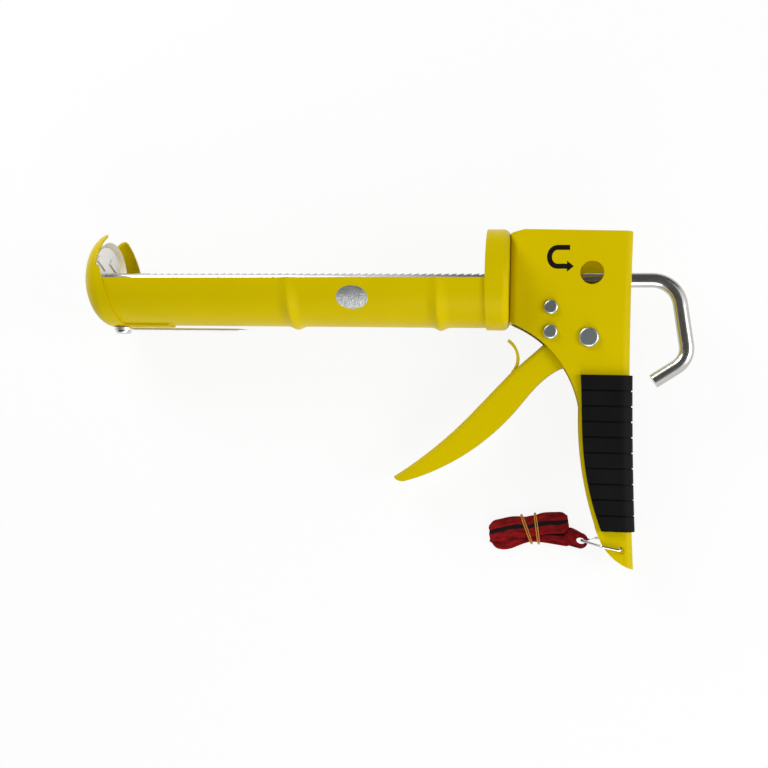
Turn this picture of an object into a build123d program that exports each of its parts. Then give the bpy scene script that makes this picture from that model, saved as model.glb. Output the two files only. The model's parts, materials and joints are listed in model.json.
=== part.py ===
from build123d import *
import os
from math import acos, asin, atan2, cos, degrees, hypot, radians, sin, sqrt

# Half-barrel caulking gun with a ratchet rod, in millimetres.
# The pieces are drawn in the gun's own frame: X runs back along the rod, Y points up out of
# the open barrel and Z points to the near side plate. The rod's axis is the X axis, and the
# back of the cup is X = 0. The last section lays every piece on its side, with +Z up.

# Fits
sheet_fit = 0.05
running_fit = 0.05
rod_fit = 0.08
stop_gap = 0.2
rod_gap = 0.3

# Cup behind the cartridge
cup_radius = 28.0
cup_wall = 1.2
cup_depth = 12.5
cup_edge_radius = 4.0

# Half barrel
barrel_front = 231.0
barrel_wall = 1.0
rim_drop = 2.0
bead_setback = 38.2
bead_spacing = 82.7
bead_width = 12.5
bead_height = 1.8

# Front cap
cap_wall = 1.2
cap_lead = 0.6
dome_depth = 15.4
skirt_top = 5.0
near_skirt_top_lap = 0.3
far_skirt_top_lap = 2.9
skirt_side_lap = 2.9
skirt_side_drop = 2.8
skirt_bottom_lap = 7.8
tongue_length = 34.6
tongue_width = 11.5
slot_width = 24.0
horn_round = 0.156
near_horn_root = (-1.8, 5.6)
near_horn_back = -0.05
far_horn_root = (2.8, 5.6)
far_horn_back = -1.2

# Piercing wire under the nose
piercer_setback = 4.5
piercer_shank_radius = 2.0
piercer_head_radius = 4.5
piercer_head_height = 2.0
piercer_head_round = 1.4
piercer_inner_head_radius = 3.5
piercer_inner_head_height = 1.0
piercer_wire_radius = 0.75
piercer_eye_radius = 5.3
piercer_eye_gap = 0.3
piercer_length = 77.0
piercer_point = 6.0

# Ratchet rod and its hook
rod_radius = 4.0
tooth_pitch = 4.23
tooth_depth = 1.5
tooth_count = 60
tooth_land_drop = 0.2
teeth_setback = 26.23
hook_bend = 15.0
hook_return_bend = 12.0
hook_reach = 23.7
hook_foot = (30.4, -42.8)
hook_end = (12.2, -54.9)

# Plunger
plunger_radius = 22.0
plunger_wall = 1.6
plunger_lead = 6.4
plunger_flat_radius = 19.0
plunger_rim_rise = 2.4
plunger_pad = (4.4, 12.0)
plunger_pad_height = 0.8
plunger_pad_place = (8.8, 8.2)
plunger_pad_turn = -25.0
spigot_radius = 3.0
plunger_washer_radius = 7.0
plunger_washer_height = 1.2
plunger_nut_flat = 5.0
plunger_nut_height = 4.0
spigot_end = 0.7

# Body shell, folded from one sheet
sheet = 1.5
body_width = 22.0
fold_radius = 4.5
body_length = 65.7
body_top = 26.5
body_corner = (8.0, 2.0)
body_back_drop = 1.4
front_foot = -24.2
front_arc_middle = (24.8, -41.4)
throat = (38.5, -70.0)
handle_front_middle = (40.2, -99.8)
handle_front_end = (48.2, -134.2)
tip_arc_middle = (55.0, -147.6)
handle_tip = (68.2, -155.6)
back_waist = (64.8, -45.0)
seam_width = 0.6
cutter_place = (44.1, 2.8)
cutter_radius = 6.35
strap_hole_place = (61.5, -145.4)
strap_hole_radius = 2.0

# Bush and nut that clamp the cup to the body
bush_wall = 1.2
bush_flange_radius = 11.0
bush_flange_height = 2.0
nut_wall = 1.2
nut_height = 5.0
thread_end = 1.0

# Grip sleeve
grip_wall = 2.3
grip_back_wall = 1.6
grip_top = -52.4
grip_bottom = -135.5
grip_front = ((38.7, -49.0), (39.7, -70.0), (41.7, -100.0), (45.8, -120.0), (52.3, -139.0))
groove_count = 9
groove_width = 0.9
groove_depth = 0.7

# Rivets across the body
pivot_place = (42.9, -32.1)
pivot_shank_radius = 3.0
pivot_head_radius = 5.4
pivot_bush_radius = 4.5
stop_place = (22.5, -29.4)
pawl_place = (22.5, -16.0)
rivet_shank_radius = 2.0
rivet_head_radius = 4.0
rivet_head_height = 1.9
rivet_head_round = 1.4

# Trigger, a folded channel on the pivot
trigger_wall = 1.5
trigger_edge_angle = 42.0
trigger_fold_radius = 3.0
trigger_fold_least = 12.0
web_angle = -45.0
trigger_shoulder = 3.0
trigger_bend = (-21.9, -76.9)
trigger_front_middle = (-39.2, -93.2)
trigger_toe = (-62.3, -110.6)
trigger_toe_middle = (-59.8, -112.5)
trigger_toe_end = (-56.4, -113.0)
trigger_rear_low = (-34.9, -104.4)
trigger_rear_middle = (-13.4, -90.1)
trigger_rear_bend = (4.6, -72.1)
trigger_heel_middle = (15.4, -58.9)
trigger_heel = (28.0, -49.0)
trigger_front_limit = 60.0
trigger_stroke = 35.0
cheek_edge_length = 13.0
cheek_reach = 29.0
cheek_lead_angle = 80.0
cheek_trail_angle = 56.0
cheek_back = ((56.0, -30.0), (50.0, -43.0))
curl_width = 11.0
curl_points = ((2.2, -51.6), (4.9, -41.5), (-0.3, -33.8))

# Pawls below the rod
pawl_arm = 18.0
pawl_pin_radius = 1.75
pawl_hub_radius = 3.6
drive_pawl_lean = 6.0
pawl_tip_width = 1.4
pawl_side_gap = 0.3
pawl_finger_width = 7.0
finger_back_angle = 30.0
finger_front_angle = 170.0
holding_hub_radius = 4.0
holding_pawl_lean = 8.5

# Springs
return_spring_wire = 0.8
return_spring_gap = 0.3
return_spring_width = 7.0
pawl_spring_wire = 0.4
pawl_spring_gap = 0.3
pawl_spring_width = 1.5
spring_leg_gap = 0.3
spring_leg_inset = 0.06

# Cutter blade on the trigger's near cheek
blade_wall = 1.7
blade_gap = 0.3
blade_width = 7.5
blade_back_gap = 1.1
blade_start = 13.0
blade_end = 42.5
blade_bevel = 0.9
blade_rivet_reach = 26.0
blade_rivet_radius = 1.25
blade_rivet_head_radius = 2.2
blade_rivet_head_height = 0.8

# Wrist strap on the table beside the handle, folded over and banded
strap_wall = 1.2
strap_rise = 0.8
strap_fold_gap = 0.4
strap_fold_width = 2.4
strap_corner = 4.0
low_layer_start = (-8.9, -136.4)
low_layer_corner = (-8.9, -145.8)
low_layer_belly = (0.6, -149.6)
low_layer_waist = (15.5, -143.4)
low_layer_end = (37.0, -145.2)
top_layer_start = (-9.3, -138.2)
top_layer_end = (34.3, -131.0)
top_layer_width = 12.0
eye_root = (36.0, -140.4)
eye_run = 6.8
eye_turn = -10.0
eye_tilt = 25.0
eye_width = 9.4
eye_radius = 2.2
band_ends = (((8.0, -127.8), (14.6, -145.3)), ((15.6, -126.6), (18.4, -145.3)))
band_width = 1.2
band_wall = 0.6
band_gap = 0.1

# Wire link between the strap and the handle's tip
link_wire_radius = 0.7
link_bend = 1.6
link_stand = 1.8
link_joint_gap = 0.5
link_edge_place = (51.2, -143.6)
link_spread = 3.0
link_turn_place = (60.0, -139.6)

# Places that follow from the sizes
body_half = body_width / 2
inner_half = body_half - sheet
barrel_radius = cup_radius - cup_wall - sheet_fit
cap_radius = barrel_radius + sheet_fit + cap_wall
dome_x = -barrel_front - cap_lead
tongue_x = dome_x + tongue_length
plunger_x = dome_x - plunger_lead
piercer_x = dome_x + piercer_setback
bush_radius = rod_radius + rod_fit + bush_wall
trigger_half = inner_half - blade_wall - blade_gap
cheek_inner = trigger_half - trigger_wall
blade_corner = hypot(blade_end, blade_width / 2)
blade_room = min(body_length, back_waist[0]) - sheet - blade_back_gap - pivot_place[0]
blade_angle = degrees(acos(blade_room / blade_corner) + atan2(blade_width / 2, blade_end))


def around(place, radius, angle):
    """A point of the side view at a radius and an angle, in degrees, round a place."""
    return place[0] + radius * cos(radians(angle)), place[1] + radius * sin(radians(angle))


def shifted(point, right=0.0, up=0.0):
    """A point of the side view moved right and up."""
    return point[0] + right, point[1] + up


# The gun rests on the barrel's beads and the lower end of its grip: how far that rolls it
rest_radius = barrel_radius + bead_height
rest_arm = hypot(grip_bottom, body_half + grip_wall)
rest_roll = degrees(asin(rest_radius / rest_arm) - atan2(body_half + grip_wall, -grip_bottom))
table_up = Vector(0, sin(radians(rest_roll)), cos(radians(rest_roll)))
table = Plane(origin=table_up * -rest_radius, x_dir=(1, 0, 0), z_dir=table_up)

# Rear cup
with BuildPart() as rear_cup:
    with BuildSketch(Plane.YZ):
        Circle(cup_radius)
    extrude(amount=-cup_depth)
    back_rim = rear_cup.faces().sort_by(Axis.X)[-1].edges()
    fillet(back_rim, radius=cup_edge_radius)
    offset(amount=-cup_wall, openings=rear_cup.faces().sort_by(Axis.X)[0])
    with BuildSketch(Plane.YZ):
        Circle(bush_radius + sheet_fit)
    extrude(amount=-cup_depth, mode=Mode.SUBTRACT)

# Half barrel with its two pressed beads
barrel_back = -cup_edge_radius - sheet_fit
bead_places = (-bead_setback, -bead_setback - bead_spacing)


def barrel_line(radius):
    """One surface of the barrel from back to front, over its beads."""
    last = (barrel_back, radius)
    for place in bead_places:
        start = (place + bead_width / 2, radius)
        end = (place - bead_width / 2, radius)
        Line(last, start)
        Spline(start, (place, radius + bead_height), end, tangents=((-1, 0), (-1, 0)))
        last = end
    Line(last, (-barrel_front, radius))


with BuildPart() as half_barrel:
    with BuildSketch():
        with BuildLine():
            barrel_line(barrel_radius)
            barrel_line(barrel_radius - barrel_wall)
            Line((barrel_back, barrel_radius), (barrel_back, barrel_radius - barrel_wall))
            Line((-barrel_front, barrel_radius), (-barrel_front, barrel_radius - barrel_wall))
        make_face()
    revolve(axis=Axis.X)
    with Locations((-barrel_front / 2, -rim_drop, 0)):
        Box(
            2 * barrel_front,
            2 * cup_radius,
            4 * cup_radius,
            align=(Align.CENTER, Align.MIN, Align.CENTER),
            mode=Mode.SUBTRACT,
        )
    with BuildSketch(Plane.XZ):
        with Locations((piercer_x, 0)):
            Circle(piercer_shank_radius + sheet_fit)
    extrude(amount=2 * cup_radius, mode=Mode.SUBTRACT)

# Front cap: a dome with a nozzle slot, a half skirt and a tongue under the barrel
cap_inner = cap_radius - cap_wall
horn_sides = (
    (1, near_skirt_top_lap, near_horn_root, near_horn_back),
    (-1, far_skirt_top_lap, far_horn_root, far_horn_back),
)
with BuildPart() as front_cap:
    with BuildSketch():
        with BuildLine():
            EllipticalCenterArc((dome_x, 0), dome_depth, cap_radius, 90, arc_size=90)
            EllipticalCenterArc((dome_x, 0), dome_depth - cap_wall, cap_inner, 90, arc_size=90)
            Polyline(
                (dome_x, cap_radius),
                (tongue_x, cap_radius),
                (tongue_x, cap_inner),
                (dome_x, cap_inner),
            )
            Line((dome_x - dome_depth, 0), (dome_x - dome_depth + cap_wall, 0))
        make_face()
    revolve(axis=Axis.X)
    for side, top_lap, horn_root, horn_back in horn_sides:
        with BuildSketch():
            with BuildLine():
                Polyline(
                    (dome_x + top_lap, skirt_top),
                    shifted(horn_root, right=dome_x),
                    (dome_x + horn_back, cap_radius),
                    (dome_x + horn_back, 2 * cap_radius),
                    (tongue_x + cap_wall, 2 * cap_radius),
                    (tongue_x + cap_wall, skirt_top),
                    close=True,
                )
            make_face()
        extrude(amount=side * 2 * cap_radius, mode=Mode.SUBTRACT)
        with BuildSketch(Plane.XY.offset(side * tongue_width / 2)):
            with BuildLine():
                Polyline(
                    (dome_x + top_lap, skirt_top),
                    (dome_x + skirt_side_lap, -skirt_side_drop),
                    (dome_x + skirt_bottom_lap, -cap_radius),
                    (tongue_x + cap_wall, -cap_radius),
                    (tongue_x + cap_wall, skirt_top),
                    close=True,
                )
            make_face()
        extrude(amount=side * cap_radius, mode=Mode.SUBTRACT)
    with BuildSketch(Plane.YZ.offset(dome_x)):
        Circle(slot_width / 2)
        Rectangle(2 * cap_radius, slot_width, align=(Align.MIN, Align.CENTER))
    extrude(amount=-2 * dome_depth, mode=Mode.SUBTRACT)
    horn_corners = front_cap.edges().filter_by_position(Axis.Y, cap_radius / 2, cap_radius)
    horn_corners = horn_corners.filter_by(lambda edge: edge.length < 2 * cap_wall)
    fillet(horn_corners, radius=horn_round * (cap_radius - slot_width / 2))
    with BuildSketch(Plane.XZ):
        with Locations((piercer_x, 0)):
            Circle(piercer_shank_radius + sheet_fit)
    extrude(amount=2 * cap_radius, mode=Mode.SUBTRACT)

# Piercing wire with its eye, and the rivet that it swings on
eye_y = -cap_radius - piercer_eye_gap - piercer_wire_radius
head_y = eye_y - piercer_wire_radius - running_fit
inner_head_y = -sqrt((barrel_radius - barrel_wall) ** 2 - piercer_inner_head_radius**2)
with BuildPart() as piercing_wire:
    with BuildSketch(Plane.XZ.offset(-eye_y - piercer_wire_radius)):
        with Locations((piercer_x, 0)):
            Circle(piercer_eye_radius)
            Circle(piercer_shank_radius + running_fit, mode=Mode.SUBTRACT)
    extrude(amount=2 * piercer_wire_radius)
    wire_start = piercer_x + (piercer_eye_radius + piercer_shank_radius) / 2
    wire_end = piercer_x + piercer_length
    with BuildSketch():
        with BuildLine():
            Polyline(
                (wire_start, eye_y),
                (wire_end, eye_y),
                (wire_end - piercer_point, eye_y + piercer_wire_radius),
                (wire_start, eye_y + piercer_wire_radius),
                close=True,
            )
        make_face()
    revolve(axis=Axis((0, eye_y, 0), (1, 0, 0)))

with BuildPart() as piercer_rivet:
    with BuildSketch(Plane.XZ.offset(-inner_head_y - piercer_inner_head_height)):
        with Locations((piercer_x, 0)):
            Circle(piercer_inner_head_radius)
    extrude(amount=piercer_inner_head_height)
    with BuildSketch(Plane.XZ.offset(-inner_head_y)):
        with Locations((piercer_x, 0)):
            Circle(piercer_shank_radius)
    extrude(amount=inner_head_y - head_y)
    with BuildSketch(Plane.XZ.offset(-head_y)):
        with Locations((piercer_x, 0)):
            Circle(piercer_head_radius)
    extrude(amount=piercer_head_height)
    head_rim = piercer_rivet.faces().sort_by(Axis.Y)[0].edges()
    fillet(head_rim, radius=piercer_head_round)

# Bush through the cup and the body's front, and the nut behind it
bush_front = -cup_wall - bush_flange_height
bush_back = sheet + nut_height + thread_end
with BuildPart() as barrel_bush:
    with BuildSketch(Plane.YZ.offset(bush_front)):
        Circle(bush_flange_radius)
    extrude(amount=bush_flange_height)
    with BuildSketch(Plane.YZ.offset(bush_front)):
        Circle(bush_radius)
    extrude(amount=bush_back - bush_front)
    with BuildSketch(Plane.YZ.offset(bush_front)):
        Circle(rod_radius + rod_fit)
    extrude(amount=bush_back - bush_front, mode=Mode.SUBTRACT)

with BuildPart() as barrel_nut:
    with BuildSketch(Plane.YZ.offset(sheet)):
        RegularPolygon(bush_radius + nut_wall, 6, major_radius=False)
        Circle(bush_radius + sheet_fit, mode=Mode.SUBTRACT)
    extrude(amount=nut_height)


# Body shell: two side plates, a rounded back and front flanges from one folded sheet
def body_block(side_grow, grow):
    """The body's outer form, grown on its sides and on its back."""
    with BuildPart() as block:
        with BuildSketch():
            with BuildLine():
                Polyline(
                    (0, front_foot),
                    (0, body_top - body_corner[1]),
                    (body_corner[0], body_top),
                    (body_length + grow, body_top - body_back_drop),
                )
                ThreePointArc(
                    (body_length + grow, body_top - body_back_drop),
                    shifted(back_waist, right=grow),
                    shifted(handle_tip, right=grow),
                )
                if grow > 0:
                    Line(shifted(handle_tip, right=grow), handle_tip)
                ThreePointArc(handle_tip, tip_arc_middle, handle_front_end)
                ThreePointArc(handle_front_end, handle_front_middle, throat)
                ThreePointArc(throat, front_arc_middle, (0, front_foot))
            make_face()
        extrude(amount=body_half + side_grow, both=True)
        back = block.faces().filter_by(GeomType.CYLINDER).sort_by(Axis.X)[-1]
        fillet(back.edges().filter_by(GeomType.CIRCLE), radius=fold_radius + side_grow)
        front = block.faces().filter_by(Axis.X).sort_by(Axis.X)[0]
        fillet(front.edges().filter_by(Axis.Y), radius=fold_radius)
    return block.part


with BuildPart() as body_cavity:
    inner_tip = shifted(handle_tip, right=-sheet)
    inner_top = (body_length - sheet, body_top)
    with BuildSketch():
        with BuildLine():
            Polyline(
                shifted(inner_tip, up=-cup_radius),
                (sheet, inner_tip[1] - cup_radius),
                (sheet, body_top + cup_radius),
                shifted(inner_top, up=cup_radius),
                inner_top,
            )
            ThreePointArc(inner_top, shifted(back_waist, right=-sheet), inner_tip)
            Line(inner_tip, shifted(inner_tip, up=-cup_radius))
        make_face()
    extrude(amount=inner_half, both=True)
    inner_back = body_cavity.faces().filter_by(GeomType.CYLINDER)[0]
    fillet(inner_back.edges().filter_by(GeomType.CIRCLE), radius=fold_radius - sheet)
    inner_front = body_cavity.faces().filter_by(Axis.X).sort_by(Axis.X)[0]
    fillet(inner_front.edges().filter_by(Axis.Y), radius=fold_radius - sheet)

with BuildPart() as body_shell:
    add(body_block(0, 0))
    add(body_cavity.part, mode=Mode.SUBTRACT)
    with Locations((0, 0, 0)):
        Box(3 * sheet, 4 * body_top, seam_width, mode=Mode.SUBTRACT)
    with BuildSketch(Plane.YZ):
        Circle(bush_radius + sheet_fit)
    extrude(amount=2 * sheet, mode=Mode.SUBTRACT)
    with BuildSketch(Plane.YZ.offset(body_length - 4 * sheet)):
        Circle(rod_radius + rod_fit)
    extrude(amount=8 * sheet, mode=Mode.SUBTRACT)
    with Locations(pivot_place):
        Cylinder(pivot_shank_radius + sheet_fit, 2 * body_width, mode=Mode.SUBTRACT)
    with Locations(stop_place, pawl_place):
        Cylinder(rivet_shank_radius + sheet_fit, 2 * body_width, mode=Mode.SUBTRACT)
    with Locations((*cutter_place, body_half)):
        Cylinder(cutter_radius, 3 * sheet, mode=Mode.SUBTRACT)
    with Locations((*strap_hole_place, body_half)):
        Cylinder(strap_hole_radius, 3 * sheet, mode=Mode.SUBTRACT)

# Grip sleeve, open at the front, with grooves round its sides and back
grip_length = grip_top - grip_bottom
groove_pitch = grip_length / (groove_count + 1)
with BuildPart() as groove_slabs:
    for groove in range(groove_count):
        with Locations((body_length, grip_top - groove_pitch * (groove + 1), 0)):
            Box(2 * body_length, groove_width, 3 * body_width)

with BuildPart() as groove_cutter:
    add(body_block(2 * grip_wall, 2 * grip_wall))
    add(body_block(grip_wall - groove_depth, grip_back_wall - groove_depth), mode=Mode.SUBTRACT)
    add(groove_slabs.part, mode=Mode.INTERSECT)

with BuildPart() as grip_sleeve:
    add(body_block(grip_wall, grip_back_wall))
    add(body_block(sheet_fit, sheet_fit), mode=Mode.SUBTRACT)
    with Locations((body_length, (grip_top + grip_bottom) / 2, 0)):
        Box(3 * body_length, grip_length, 3 * body_width, mode=Mode.INTERSECT)
    with BuildSketch():
        with BuildLine():
            Spline(*grip_front)
            Polyline(
                grip_front[-1],
                (0, grip_front[-1][1]),
                (0, grip_front[0][1]),
                grip_front[0],
            )
        make_face()
    extrude(amount=2 * body_width, both=True, mode=Mode.SUBTRACT)
    add(groove_cutter.part, mode=Mode.SUBTRACT)


# Rivets across the body
def cross_rivet(place, shank_radius, head_radius):
    """A rivet through both side plates with a low domed head outside each."""
    head_middle = body_half + rivet_head_height / 2
    with BuildPart() as rivet:
        with Locations(place):
            Cylinder(shank_radius, body_width)
        with Locations((*place, head_middle), (*place, -head_middle)):
            Cylinder(head_radius, rivet_head_height)
        rims = rivet.edges().group_by(Axis.Z)
        fillet(rims[0] + rims[-1], radius=rivet_head_round)
    return rivet.part


pivot_rivet = cross_rivet(pivot_place, pivot_shank_radius, pivot_head_radius)
stop_rivet = cross_rivet(stop_place, rivet_shank_radius, rivet_head_radius)
pawl_rivet = cross_rivet(pawl_place, rivet_shank_radius, rivet_head_radius)

with BuildPart() as pivot_bush:
    with Locations(pivot_place):
        Cylinder(pivot_bush_radius, 2 * inner_half - running_fit)
        Cylinder(pivot_shank_radius + running_fit, body_width, mode=Mode.SUBTRACT)

# Trigger: a channel whose front edge rests on the stop rivet, with a curl at its shoulder
stop_clear = rivet_shank_radius + stop_gap
edge_rest = around(stop_place, stop_clear, trigger_edge_angle - 90)
cheek_corner = around(edge_rest, cheek_edge_length, trigger_edge_angle)
edge_run = (edge_rest[0] - trigger_shoulder) / cos(radians(trigger_edge_angle))
edge_foot = around(edge_rest, -edge_run, trigger_edge_angle)
pawl_angle = 90 - trigger_stroke / 2
pawl_pin_place = around(pivot_place, pawl_arm, pawl_angle)

with BuildPart() as trigger:
    with BuildSketch():
        with BuildLine():
            Polyline(
                trigger_heel,
                cheek_back[1],
                cheek_back[0],
                around(pivot_place, cheek_reach, cheek_trail_angle),
                around(pivot_place, cheek_reach, cheek_lead_angle),
                cheek_corner,
                edge_foot,
                trigger_bend,
            )
            ThreePointArc(trigger_bend, trigger_front_middle, trigger_toe)
            ThreePointArc(trigger_toe, trigger_toe_middle, trigger_toe_end)
            Spline(
                trigger_toe_end,
                trigger_rear_low,
                trigger_rear_middle,
                trigger_rear_bend,
                trigger_heel_middle,
                trigger_heel,
            )
        make_face()
    extrude(amount=trigger_half, both=True)
    level_edges = trigger.edges().group_by(Axis.Z)
    front_edges = level_edges[0] + level_edges[-1]
    front_edges = front_edges.filter_by_position(Axis.X, trigger_toe[0], trigger_shoulder)
    front_edges = front_edges.filter_by(lambda edge: edge.length > trigger_fold_least)
    front_edges = front_edges.filter_by(
        lambda edge: edge.center().X - edge.center().Y < trigger_front_limit
    )
    fillet(front_edges, radius=trigger_fold_radius)
    with BuildSketch():
        with BuildLine():
            ThreePointArc(
                around(trigger_toe, trigger_wall, web_angle),
                around(trigger_front_middle, trigger_wall, web_angle),
                around(trigger_bend, trigger_wall, web_angle),
            )
            Polyline(
                around(trigger_bend, trigger_wall, web_angle),
                around(edge_foot, trigger_wall, web_angle),
                shifted(edge_foot, right=-cup_depth, up=cup_depth),
                (edge_foot[0], cup_radius),
                (body_length, cup_radius),
                (body_length, trigger_toe[1] - cup_radius),
                shifted(trigger_toe, up=-cup_radius),
                around(trigger_toe, trigger_wall, web_angle),
            )
        make_face()
    extrude(amount=cheek_inner, both=True, mode=Mode.SUBTRACT)
    with BuildSketch():
        with BuildLine():
            ThreePointArc(*curl_points)
        trace(line_width=trigger_wall)
    extrude(amount=curl_width / 2, both=True)
    with Locations(pivot_place):
        Cylinder(pivot_bush_radius + running_fit, body_width, mode=Mode.SUBTRACT)
    with Locations(pawl_pin_place):
        Cylinder(pawl_pin_radius + sheet_fit, body_width, mode=Mode.SUBTRACT)
    with Locations((*around(pivot_place, blade_rivet_reach, blade_angle), trigger_half)):
        Cylinder(blade_rivet_radius + sheet_fit, 3 * trigger_wall, mode=Mode.SUBTRACT)

# Cutter blade that sweeps behind the hole in the near plate
blade_middle = trigger_half + blade_wall / 2
with BuildPart() as cutter_blade:
    with BuildSketch(Plane.XY.offset(trigger_half)):
        with Locations(around(pivot_place, (blade_start + blade_end) / 2, blade_angle)):
            Rectangle(blade_end - blade_start, blade_width, rotation=blade_angle)
    extrude(amount=blade_wall)
    cutting_edge = cutter_blade.edges().filter_by(lambda edge: edge.length > blade_width + sheet_fit)
    cutting_edge = cutting_edge.group_by(Axis.Z)[0].sort_by(Axis.X)[0]
    chamfer(cutting_edge, length=blade_bevel)
    with Locations((*pawl_pin_place, blade_middle)):
        Cylinder(pawl_pin_radius + sheet_fit, 2 * blade_wall, mode=Mode.SUBTRACT)
    with Locations((*around(pivot_place, blade_rivet_reach, blade_angle), blade_middle)):
        Cylinder(blade_rivet_radius + sheet_fit, 2 * blade_wall, mode=Mode.SUBTRACT)

with BuildPart() as blade_rivet:
    with BuildSketch(Plane.XY.offset(cheek_inner - blade_rivet_head_height)):
        with Locations(around(pivot_place, blade_rivet_reach, blade_angle)):
            Circle(blade_rivet_head_radius)
    extrude(amount=blade_rivet_head_height)
    with BuildSketch(Plane.XY.offset(cheek_inner)):
        with Locations(around(pivot_place, blade_rivet_reach, blade_angle)):
            Circle(blade_rivet_radius)
    extrude(amount=trigger_wall + blade_wall)

# Drive pawl on the trigger's arm, its pin and its spring
drive_hub_end = cheek_inner - pawl_side_gap - pawl_spring_width - pawl_side_gap
arm_rise = pawl_arm - pawl_arm * sin(radians(pawl_angle))
drive_tip_y = -rod_radius - rod_gap - arm_rise
drive_tip = (pawl_pin_place[0] - drive_pawl_lean, drive_tip_y)


def pawl_finger(place, tip, hub_radius):
    """Corners of a pawl's finger, from a narrow flat tip to its hub."""
    return (
        shifted(tip, right=-pawl_tip_width / 2),
        shifted(tip, right=pawl_tip_width / 2),
        around(place, hub_radius, finger_back_angle),
        place,
        around(place, hub_radius, finger_front_angle),
    )


with BuildPart() as drive_pawl:
    with BuildSketch(Plane.XY.offset(-cheek_inner + pawl_side_gap)):
        with Locations(pawl_pin_place):
            Circle(pawl_hub_radius)
    extrude(amount=cheek_inner - pawl_side_gap + drive_hub_end)
    with BuildSketch():
        with BuildLine():
            Polyline(*pawl_finger(pawl_pin_place, drive_tip, pawl_hub_radius), close=True)
        make_face()
    extrude(amount=min(pawl_finger_width / 2, drive_hub_end), both=True)
    with Locations(pawl_pin_place):
        Cylinder(pawl_pin_radius + running_fit, body_width, mode=Mode.SUBTRACT)

with BuildPart() as drive_pawl_pin:
    with BuildSketch(Plane.XY.offset(-trigger_half)):
        with Locations(pawl_pin_place):
            Circle(pawl_pin_radius)
    extrude(amount=2 * trigger_half + blade_wall)

# Holding pawl on the upper rivet
holding_tip = (pawl_place[0] - holding_pawl_lean, -rod_radius - rod_gap)
holding_hub_half = inner_half - pawl_side_gap
with BuildPart() as holding_pawl:
    with Locations(pawl_place):
        Cylinder(holding_hub_radius, 2 * holding_hub_half)
    with BuildSketch():
        with BuildLine():
            Polyline(*pawl_finger(pawl_place, holding_tip, holding_hub_radius), close=True)
        make_face()
    extrude(amount=pawl_finger_width / 2, both=True)
    with Locations(pawl_place):
        Cylinder(rivet_shank_radius + running_fit, body_width, mode=Mode.SUBTRACT)


# Springs: each a wound sleeve with two legs
def coil_spring(place, inner_radius, wire, low, high, legs):
    """A torsion spring's sleeve of turns, with a straight leg off one side of each end."""
    middle_radius = inner_radius + wire
    with BuildPart() as spring:
        with BuildSketch(Plane.XY.offset(low)):
            with Locations(place):
                Circle(middle_radius + wire)
                Circle(inner_radius, mode=Mode.SUBTRACT)
        extrude(amount=high - low)
        for level, (end, side) in zip((low + wire, high - wire), legs):
            reach = hypot(end[0] - place[0], end[1] - place[1])
            heading = degrees(atan2(end[1] - place[1], end[0] - place[0]))
            lean = degrees(asin(middle_radius / reach))
            start = around(place, middle_radius, heading + side * (90 - lean))
            along = Vector(end[0] - start[0], end[1] - start[1])
            with BuildSketch(Plane(origin=(*start, level), z_dir=along)):
                Circle(wire - spring_leg_inset)
            extrude(amount=along.length)
    return spring.part


stop_leg_end = shifted(stop_place, up=rivet_shank_radius + return_spring_wire + spring_leg_gap)
web_middle = ((edge_foot[0] + trigger_bend[0]) / 2, (edge_foot[1] + trigger_bend[1]) / 2)
web_leg_end = around(web_middle, trigger_wall + return_spring_wire + spring_leg_gap, web_angle)
return_spring = coil_spring(
    pivot_place,
    pivot_bush_radius + return_spring_gap,
    return_spring_wire,
    -return_spring_width / 2,
    return_spring_width / 2,
    ((stop_leg_end, -1), (web_leg_end, 1)),
)
holding_leg_end = shifted(stop_place, right=-rivet_shank_radius - pawl_spring_wire - spring_leg_gap)
finger_leg_end = shifted(holding_tip, right=-holding_pawl_lean / 2, up=-holding_pawl_lean / 2)
holding_spring = coil_spring(
    pawl_place,
    holding_hub_radius + pawl_spring_gap,
    pawl_spring_wire,
    pawl_finger_width / 2 + pawl_side_gap,
    holding_hub_half,
    ((holding_leg_end, -1), (finger_leg_end, 1)),
)
drive_spring = coil_spring(
    pawl_pin_place,
    pawl_pin_radius + pawl_spring_gap,
    pawl_spring_wire,
    drive_hub_end + pawl_side_gap / 2,
    cheek_inner - pawl_side_gap,
    (
        (around(pawl_pin_place, 2 * pawl_hub_radius, 0), -1),
        (around(pawl_pin_place, 2 * pawl_hub_radius, 180), 1),
    ),
)

# Ratchet rod: teeth along its top, a hook behind the body, a spigot for the plunger
hook_corner = (body_length + hook_reach, 0)
teeth_start = plunger_x + teeth_setback
land = rod_radius - tooth_land_drop
tooth_line = []
for tooth in range(tooth_count):
    tooth_line.append((teeth_start + tooth * tooth_pitch, land))
    tooth_line.append((teeth_start + tooth * tooth_pitch, land - tooth_depth))
teeth_end = teeth_start + tooth_count * tooth_pitch
spigot_length = plunger_wall + plunger_washer_height + plunger_nut_height + spigot_end

with BuildPart() as toothed_rod:
    with BuildLine():
        FilletPolyline(
            (plunger_x, 0),
            hook_corner,
            shifted(hook_foot, right=body_length),
            shifted(hook_end, right=body_length),
            radius=[hook_bend, hook_return_bend],
        )
    with BuildSketch(Plane.YZ.offset(plunger_x)):
        Circle(rod_radius)
    sweep()
    with BuildSketch():
        with BuildLine():
            Polyline(
                *tooth_line,
                (teeth_end, land),
                (teeth_end, 2 * rod_radius),
                (teeth_start, 2 * rod_radius),
                close=True,
            )
        make_face()
    extrude(amount=2 * rod_radius, both=True, mode=Mode.SUBTRACT)
    with BuildSketch(Plane.YZ.offset(plunger_x)):
        Circle(spigot_radius)
    extrude(amount=-spigot_length)

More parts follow.
